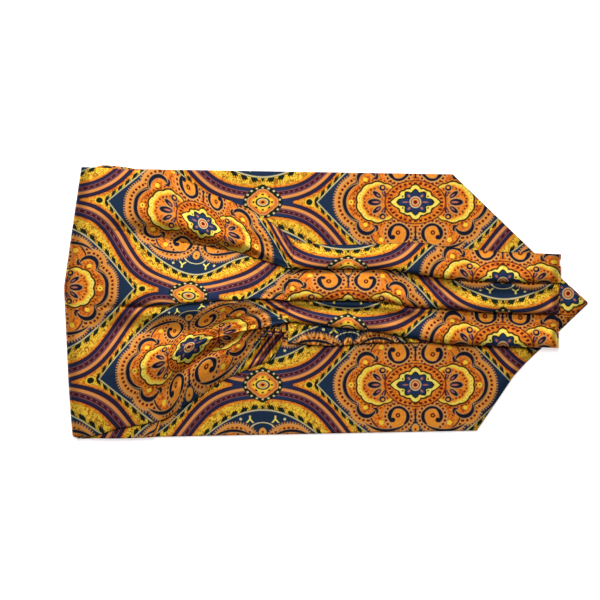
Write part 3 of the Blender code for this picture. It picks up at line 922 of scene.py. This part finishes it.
def mottled(plan, scale, dark, light, low, high, distortion=1.5):
    """Two colours in small curled flecks, as in the print's filled grounds."""
    # The noise's scale, detail, roughness, lacunarity and distortion
    settings = (scale, 1.0, 0.5, 2.0, distortion)
    noise = add(plan.tree, "ShaderNodeTexNoise", plan.place, *settings, noise_dimensions="2D")
    share = add(plan.tree, "ShaderNodeMapRange", noise, low, high, 0.0, 1.0)
    return paint(dark, share, light)


CURL = 2.5  # how far the noise is warped
CURL_DARKNESS = 0.75


def curled(plan, colour, scale, line):
    """Thin dark curls over a colour, where a warped noise passes its middle value."""
    # The same five settings, with no finer detail
    settings = (scale, 0.0, 0.5, 2.0, CURL)
    noise = add(plan.tree, "ShaderNodeTexNoise", plan.place, *settings, noise_dimensions="2D")
    return paint(colour, near(noise, 0.5, 0.012, 0.012) * CURL_DARKNESS, line)


# Places and sizes in the drawing of the print are in its own units from here on

FRAME_CENTRE = 0.6  # the dark band's middle is this far across from the middle line
PEACH_LINE = 3.1  # places of its two lines, across
MAROON_LINE = -1.3
WEDGE_FROM = 122.0  # along the repeat, from where the frames' band fills the gap between them
BLUE_WITHIN = 30.0  # of a ring the purple turns blue


def frames(plan):
    """The yellow leafy ground, and over it the dark frames with their peach and maroon lines."""
    away = add(plan.tree, "ABSOLUTE", plan.across - FRAME_CENTRE)
    colour = curled(plan, mottled(plan, 0.30, AMBER, YELLOW, 0.40, 0.54), 0.26, BROWN)
    colour = layered(colour, away, ((10.2, 1.4, plan.orange), (8.0, 0.4, DEEP_NAVY)))
    purple = paint(PURPLE, below(plan.ring_u, BLUE_WITHIN, 10.0), BLUE)
    wedge = below(0.0 - plan.u, -WEDGE_FROM, 0.6)
    colour = paint(colour, add(plan.tree, "MAXIMUM", below(away, 7.2), wedge), purple)
    colour = paint(colour, near(plan.across, PEACH_LINE, 2.0), DEEP_NAVY)
    colour = paint(colour, near(plan.across, PEACH_LINE, 1.5), PEACH)
    colour = paint(colour, near(plan.across, MAROON_LINE, 2.3), MAUVE)
    colour = paint(colour, near(plan.across, MAROON_LINE, 1.6), MAROON)
    beading = both(near(plan.across, MAROON_LINE, 0.6), beads(plan.u, 5.2, 0.9))
    return paint(colour, beading, MAUVE)


GROUND_HALF = (98.0, 66.0)  # half of its length and of its height
GROUND_EDGE = 0.8  # true distance from the edge for each unit of height, on average
LEAF_APART = 10.4  # between the dark leaves along the cream line
LEAF_HALF = (3.9, 2.1)
LEAF_OUT = 2.6  # from the edge to a leaf's middle
GROUND_END = (
    ((106.0, 0.0), (4.3, 3.9), 0.0, YELLOW),
    ((106.0, 0.0), (3.3, 3.1), 0.0, GREEN_BLACK),
)


def ground(plan, colour):
    """The navy ground in its cream line, with dark leaves outside that and a dot at each end.

    Its edge is a cosine. A leaf is an oval in the distance out and the length along the edge,
    which is the distance along and a little of its cube, with a sine for its ragged outline.
    """
    curve = add(plan.tree, "COSINE", plan.u * (np.pi / 2 / GROUND_HALF[0])) * GROUND_HALF[1]
    out = (plan.v - curve) * GROUND_EDGE
    length = plan.u + plan.u * plan.u * plan.u * 2.5e-5
    along = add(plan.tree, "PINGPONG", length + 2.0, LEAF_APART / 2) / LEAF_HALF[0]
    up = (out - LEAF_OUT) / LEAF_HALF[1]
    ragged = add(plan.tree, "SINE", length * 2.4 + out * 1.7) * 0.22
    leaf = add(plan.tree, "SQRT", along * along + up * up) + ragged
    colour = paint(colour, below(leaf, 1.0, 0.12), GREEN_BLACK)
    colour = dabbed(plan, colour, GROUND_END)
    edge = ((1.2, SOFT, GREEN_BLACK), (0.7, SOFT, CREAM), (-0.3, SOFT, NAVY))
    return layered(colour, out, edge)


SPRIG_ALONG = 12.7
SPRIG_DOT = ((22.0, 57.0), (1.3, 1.3))
ARC = ((0.0, 47.4), (11.5, 6.2))  # centre and half sizes of the oval that it is part of
ARC_FROM = 48.4


def sprigs(plan, colour):
    """Y-shaped sprigs and dots on the navy ground, with a thin arc between them."""
    off = add(plan.tree, "ABSOLUTE", plan.u - SPRIG_ALONG)
    arms = both(near(off + (plan.v - 57.0) * 0.9, 0.0, 0.9), near(plan.v, 55.3, 1.9))
    stem = both(below(off, 0.8), near(plan.v, 58.6, 1.9))
    colour = paint(colour, add(plan.tree, "MAXIMUM", arms, stem), PALE_YELLOW)
    colour = paint(colour, spot(plan.at, *SPRIG_DOT), CREAM)
    line = near(oval(plan.at, *ARC)[1], 1.0, 0.07, 0.05)
    return paint(colour, both(line, below(0.0 - plan.v, -ARC_FROM)), CREAM)


#     centre and radius of the border's lobes, and of the orange field's inside it
BORDER = (((52.0, 0.0), 28.6), ((48.5, 22.4), 17.4), ((27.0, 27.0), 25.5))
FIELD = (((52.0, 0.0), 20.6), ((48.5, 22.4), 10.6), ((27.0, 27.0), 18.4))
DOTS_IN = 4.3  # from the border's outer edge to the middle of its dots
CORE = (62.0, 34.0)  # half sizes of an oval that fills the gaps between the lobes
CORE_REACH = 50.0  # its usual half size, to turn shares of it to lengths
CORE_IN = 6.0  # from the border's edge to the field's there
#     navy arcs: centre, radius, direction of the middle, half angle, half width
RIMS = (
    ((52.0, 0.0), 18.9, 0.0, 84.0, 1.7),
    ((48.5, 22.4), 8.9, 70.0, 106.0, 1.9),
    ((40.8, 26.4), 2.7, -150.0, 130.0, 1.2),
    ((29.0, 12.0), 33.5, 88.0, 42.0, 1.3),
    ((17.0, 31.5), 9.2, -104.0, 152.0, 1.2),
    ((17.0, 31.5), 8.8, -14.0, 62.0, 1.9),
    ((17.0, 31.5), 9.6, 176.0, 60.0, 1.7),
)
SWIRL = ((17.0, 31.5), (15.2, 15.2))  # the dotted ring: centre and half sizes
SWIRL_DOTS = 13.4  # radius of its dots
#     small dots by the scrolls: centre, half sizes, turn, dye
ACCENTS = (
    ((64.3, 0.0), (2.6, 2.6), 0.0, YELLOW),
    ((64.3, 0.0), (0.8, 0.8), 0.0, BROWN),
    ((50.0, 22.5), (2.2, 2.2), 0.0, YELLOW),
    ((34.0, 37.6), (2.4, 2.4), 0.0, YELLOW),
    ((22.4, 35.0), (2.4, 2.4), 0.0, DEEP_NAVY),
    ((17.4, 30.4), (2.4, 2.4), 0.0, DARK_RED),
    ((17.4, 30.4), (0.8, 0.8), 0.0, APRICOT),
)


def lobes(plan, circles):
    """How far a place is outside the nearest of several circles, and how far round that one."""
    out = length = None
    for centre, radius in circles:
        local, far = oval(plan.at, centre, (radius, radius))
        away = (far - 1.0) * radius
        turn = bearing(local) * (radius - DOTS_IN)
        if out is None:
            out, length = away, turn
        else:
            nearer = add(plan.tree, "LESS_THAN", away, out)
            length = length + (turn - length) * nearer
            out = add(plan.tree, "MINIMUM", out, away)
    return out, length


def border(plan, colour):
    """The medallion's lobed border: apricot with dark red dots, between tan lines, fringed."""
    out, length = lobes(plan, BORDER)
    core = (oval(plan.at, (0.0, 0.0), CORE)[1] - 1.0) * CORE_REACH
    out = add(plan.tree, "MINIMUM", out, core)
    fringe = both(beads(length, 2.2, 0.45), near(out, 1.0, 1.0))
    colour = paint(colour, fringe, APRICOT)
    colour = layered(colour, out, ((0.2, SOFT, TAN), (-0.9, SOFT, APRICOT)))
    colour = paint(colour, both(beads(length, 4.3, 1.25), near(out, -DOTS_IN, 1.25)), DARK_RED)
    inside = add(plan.tree, "MINIMUM", lobes(plan, FIELD)[0], core + CORE_IN)
    edge = ((1.5, SOFT, TAN), (0.8, SOFT, DEEP_NAVY), (-0.7, SOFT, plan.orange))
    colour = layered(colour, inside, edge)
    return paint(colour, both(beads(length, 3.6, 0.85), near(out, -14.6, 0.85)), DARK_RED)


ARC_POWER = 0.36  # under 1, so that an arc stays wide until near its ends
ARC_ENDS = 2.0  # how far its half width falls below nought past them


def outside_arc(plan, centre, radius, middle, half, width):
    """How far a place is outside an arc that is widest in its middle and pointed at both ends.

    That is its distance from the circle, less a half width that falls off with the cosine of
    its direction.
    """
    local, far = oval(plan.at, centre, (radius, radius), middle)
    cosine = parts(local)[0] / far
    share = add(plan.tree, "ShaderNodeMapRange", cosine, np.cos(np.radians(half)), 1.0, 0.0, 1.0)
    reach = add(plan.tree, "POWER", share, ARC_POWER) * (width + ARC_ENDS) - ARC_ENDS
    return add(plan.tree, "ABSOLUTE", far - 1.0) * radius - reach


def swirls(plan, colour):
    """Navy scrolls that follow the lobes and curl in at their ends, and a dotted ring at one."""
    local, far = oval(plan.at, *SWIRL)
    length = bearing(local) * SWIRL_DOTS
    colour = layered(colour, far, ((1.0, 0.03, TAN), (0.94, 0.03, APRICOT)))
    colour = paint(colour, both(beads(length, 4.2, 1.2), near(far, 0.86, 0.075, 0.03)), DARK_RED)
    colour = layered(colour, far, ((0.76, 0.03, TAN), (0.71, 0.03, plan.bright)))
    out = outside_arc(plan, *RIMS[0])
    for rim in RIMS[1:]:
        out = add(plan.tree, "MINIMUM", out, outside_arc(plan, *rim))
    colour = layered(colour, out, ((0.7, SOFT, TAN), (0.2, SOFT, DEEP_NAVY)))
    return dabbed(plan, colour, ACCENTS)


BUD = (
    ((0.0, 43.6), (4.8, 5.8), 0.0, DEEP_NAVY),
    ((0.0, 43.6), (3.9, 4.9), 0.0, TAN),
    ((0.0, 43.6), (3.0, 4.0), 0.0, BRIGHT_ORANGE),
    ((0.0, 44.3), (1.0, 1.2), 0.0, DARK_RED),
)


def foot(plan, colour):
    """The dark line between the two swirls, and the small orange bud under it."""
    line = both(below(plan.u, 0.9), near(plan.v, 32.0, 8.0))
    return dabbed(plan, paint(colour, line, DEEP_NAVY), BUD)


SIDE_LOBE = ((37.6, 0.0), (20.8, 19.8))  # centre and half sizes
SIDE_SCALLOPS = 5.0  # half of the number of scallops all round
SCALLOP_HEIGHT = 1.3
#     the fan of leaves: centre, half sizes, turn, dye
LEAVES = (
    ((41.0, 0.0), (7.6, 4.2), 0.0, TAN),
    ((41.0, 0.0), (6.8, 3.4), 0.0, DEEP_NAVY),
    ((39.4, 0.0), (3.4, 1.0), 0.0, PINK),
    ((38.4, 7.6), (6.0, 3.2), 38.0, TAN),
    ((38.4, 7.6), (5.2, 2.4), 38.0, DEEP_NAVY),
    ((37.2, 6.7), (2.0, 0.7), 38.0, PINK),
    ((31.6, 9.4), (4.8, 1.9), 70.0, DEEP_NAVY),
    ((31.8, 9.0), (2.0, 0.6), 70.0, PINK),
    ((32.9, 14.2), (4.0, 3.7), 0.0, TAN),
    ((32.9, 14.2), (3.3, 3.0), 0.0, DEEP_NAVY),
    ((32.6, 14.6), (1.5, 1.3), 0.0, BRIGHT_ORANGE),
    ((27.6, 4.6), (1.5, 1.9), 0.0, DARK_RED),
)


def side_lobe(plan, colour):
    """The pale yellow scalloped crescent at each side, with a fan of leaves inside it."""
    local, far = oval(plan.at, *SIDE_LOBE)
    angle = bearing(local)
    scallop = add(plan.tree, "ABSOLUTE", add(plan.tree, "SINE", angle * SIDE_SCALLOPS))
    out = (far - 1.0) * SIDE_LOBE[1][0] - scallop * SCALLOP_HEIGHT + 0.6
    inner = out + parts(local)[0] * 2.2 + 2.8
    colour = paint(colour, both(beads(angle, 0.17, 0.036, 0.02), near(out, 3.0, 0.8)), DARK_RED)
    colour = layered(colour, out, ((1.3, SOFT, BROWN), (-0.5, SOFT, plan.pale)))
    colour = paint(colour, both(beads(angle, 0.21, 0.03, 0.02), near(out, -2.4, 0.5)), AMBER)
    colour = layered(colour, inner, ((1.0, 1.2, YELLOW), (-0.8, 1.2, plan.orange)))
    inner_dots = both(beads(angle, 0.27, 0.06, 0.02), near(inner, -3.4, 1.0))
    return dabbed(plan, paint(colour, inner_dots, DARK_RED), LEAVES)


HEART_OVAL = ((0.0, 0.0), (31.0, 22.0))
#     reach of the pale field and of the petals as shares of HEART_SIZE, in equal steps from the
#     long axis to the short one
HEART = (1.0, 0.84, 0.70, 0.72, 0.64, 0.62, 0.57, 0.66, 0.70)
PETALS = (0.76, 0.66, 0.46, 0.52, 0.57, 0.50, 0.42, 0.48, 0.53)
HEART_SIZE = 24.5
HEART_SPOTS = (
    ((17.6, 0.0), (1.3, 1.1), 0.0, GREEN_BLACK),
    ((12.6, 5.8), (0.9, 0.9), 0.0, GREEN_BLACK),
    ((10.0, 0.0), (2.6, 0.7), 0.0, PINK),
    ((6.4, 6.2), (1.6, 1.1), 45.0, PINK),
)


def lobed(plan, turn, reach, shares):
    """How far a place is outside a lobed outline: its reach, less the outline's at its angle."""
    curve = add(plan.tree, "ShaderNodeFloatCurve", 1.0, turn)
    mapping = curve.socket.node.mapping
    points = mapping.curves[0].points
    places = np.linspace(0, 1, len(shares))
    points[0].location = (0.0, shares[0])
    points[1].location = (1.0, shares[-1])
    for place, share in zip(places[1:-1], shares[1:-1]):
        points.new(place, share)
    mapping.update()
    return reach - curve * HEART_SIZE


def medallion_heart(plan, colour):
    """The middle of the medallion: a dotted orange oval, a lobed pale field and eight petals."""
    local, far = oval(plan.at, *HEART_OVAL)
    angle = bearing(local)
    colour = layered(colour, far, ((1.0, 0.02, MAROON), (0.955, 0.02, plan.orange)))
    dots = both(beads(angle, 0.196, 0.055, 0.015), near(far, 0.85, 0.055, 0.02))
    colour = paint(colour, dots, DARK_RED)
    reach = add(plan.tree, "ShaderNodeVectorMath", plan.at, operation="LENGTH")
    turn = bearing(plan.at) / (np.pi / 2)
    field = lobed(plan, turn, reach, HEART)
    colour = layered(colour, field, ((1.7, SOFT, BROWN), (-0.1, SOFT, plan.pale)))
    petals = lobed(plan, turn, reach, PETALS)
    colour = layered(colour, petals, ((0.6, SOFT, GREEN_BLACK), (-1.0, SOFT, BLUE)))
    colour = dabbed(plan, colour, HEART_SPOTS)
    colour = layered(colour, reach, ((5.8, SOFT, CREAM), (4.9, SOFT, DEEP_ORANGE)))
    colour = paint(colour, near(reach, 2.9, 0.35), CREAM)
    return paint(colour, below(reach, 1.6), DARK_RED)


RING_OVAL = ((0.0, 0.0), (19.4, 16.0))
RING_KNOB = ((0.0, 15.6), (3.4, 2.2))  # the small knob at its top and foot
RING_EYE = ((0.0, 0.0), (6.8, 4.6))
EYE_LAYERS = (
    (1.08, 0.06, GREEN_BLACK),
    (0.80, 0.06, CREAM),
    (0.62, 0.06, APRICOT),
    (0.28, 0.06, DARK_RED),
)


def ring(plan, colour):
    """The eye where the frames cross: a beaded dark rim round an orange and yellow rosette."""
    local, far = oval(plan.ring_at, *RING_OVAL)
    angle = bearing(local)
    diamond = add(plan.tree, "COSINE", angle * 4.0) * 0.06
    colour = paint(colour, spot(plan.ring_at, *RING_KNOB), GREEN_BLACK)
    colour = paint(colour, below(far - diamond * 0.5, 1.0, 0.02), GREEN_BLACK)
    bead = both(beads(angle + 0.17, 0.349, 0.062, 0.02), near(far, 0.895, 0.05, 0.02))
    colour = paint(colour, bead, CREAM)
    wave = far - diamond + add(plan.tree, "COSINE", angle * 12.0) * 0.015
    colour = paint(colour, below(wave, 0.765, 0.02), PEACH)
    colour = paint(colour, near(wave, 0.64, 0.03, 0.03), DEEP_ORANGE)
    colour = layered(colour, wave, ((0.60, 0.03, plan.bright), (0.50, 0.03, YELLOW)))
    eyes = both(beads(angle, np.pi / 4, 0.13, 0.03), near(far, 0.475, 0.05, 0.02))
    colour = paint(colour, eyes, BROWN)
    return layered(colour, oval(plan.ring_at, *RING_EYE)[1], EYE_LAYERS)


def printed_satin():
    """Silk satin, printed with medallions in ogee frames: bright dyes under a soft, broad sheen.

    Satin's long floats send part of the light back as from a coloured mirror, so its level parts
    are rich and its slopes fall off into deep tones. The print follows the cloth through its UV
    map, so it bends and foreshortens with the folds.
    """
    material = bpy.data.materials.new("printed silk satin")
    material.use_nodes = True
    tree = material.node_tree
    shader = tree.nodes["Principled BSDF"]
    plan = print_plan(tree)
    plan.orange = mottled(plan, 0.22, DEEP_ORANGE, ORANGE, 0.36, 0.5)
    plan.bright = mottled(plan, 0.22, ORANGE, BRIGHT_ORANGE, 0.4, 0.6)
    plan.pale = mottled(plan, 0.30, YELLOW, PALE_YELLOW, 0.40, 0.52)
    colour = frames(plan)
    for motif in (ground, sprigs, border, swirls, foot, side_lobe, medallion_heart, ring):
        colour = motif(plan, colour)
    tree.links.new(colour.socket, shader.inputs["Base Color"])
    shader.inputs["Metallic"].default_value = SATIN_SHARE
    shader.inputs["Roughness"].default_value = SATIN_ROUGHNESS
    shader.inputs["Specular IOR Level"].default_value = SATIN_HAZE
    return material


def table_top():
    """A plain light table, under the cravat."""
    mesh = bpy.data.meshes.new("table")
    signs = ((-1, -1), (1, -1), (1, 1), (-1, 1))
    corners = [(TABLE_HALF * along, TABLE_HALF * across, 0) for along, across in signs]
    mesh.from_pydata(corners, [], [(0, 1, 2, 3)])
    # Opal acrylic, cast and matt: it spreads the light of the lamps inside the table, so it
    # looks evenly white and hardly a shadow shows on it
    material = bpy.data.materials.new("matt opal acrylic")
    material.use_nodes = True
    shader = material.node_tree.nodes["Principled BSDF"]
    shader.inputs["Base Color"].default_value = linear("#F4F0F3")
    shader.inputs["Roughness"].default_value = 0.8
    shader.inputs["Emission Color"].default_value = linear("#FFFDFE")
    shader.inputs["Emission Strength"].default_value = TABLE_GLOW
    mesh.materials.append(material)
    table = bpy.data.objects.new("table", mesh)
    bpy.context.scene.collection.objects.link(table)


def camera():
    """A long lens straight above."""
    data = bpy.data.cameras.new("camera")
    data.sensor_width = SENSOR
    data.lens = SENSOR * CAMERA_HEIGHT / SEEN_WIDTH
    data.clip_end = 10.0
    item = bpy.data.objects.new("camera", data)
    item.location = (SEEN_MIDDLE[0] * MM, SEEN_MIDDLE[1] * MM, CAMERA_HEIGHT * MM)
    bpy.context.scene.collection.objects.link(item)
    bpy.context.scene.camera = item


def light(name, place, size, power):
    """A square soft box that faces the cravat."""
    data = bpy.data.lights.new(name, "AREA")
    data.size = size
    data.energy = power
    item = bpy.data.objects.new(name, data)
    item.location = place
    back = np.array(place)
    back = back / np.linalg.norm(back)
    item.rotation_euler = (np.arccos(back[2]), 0.0, np.arctan2(back[0], -back[1]))
    item.visible_camera = False
    bpy.context.scene.collection.objects.link(item)


def lighting():
    """Soft studio light from above and from the top of the picture, under a faint white sky."""
    world = bpy.data.worlds.new("studio")
    world.use_nodes = True
    sky = world.node_tree.nodes["Background"]
    sky.inputs["Strength"].default_value = SKY
    sky.inputs["Color"].default_value = (1.0, 1.0, 1.0, 1.0)
    bpy.context.scene.world = world
    for lamp in LAMPS:
        light(*lamp)
    bpy.context.scene.view_settings.view_transform = "Standard"


camera()
table_top()
lighting()
satin = printed_satin()
blade_a(satin)
blade_b(satin)
for pleat_number in (1, 2, 3):
    neckband_pleat(pleat_number, satin)
neckband_flap(satin)
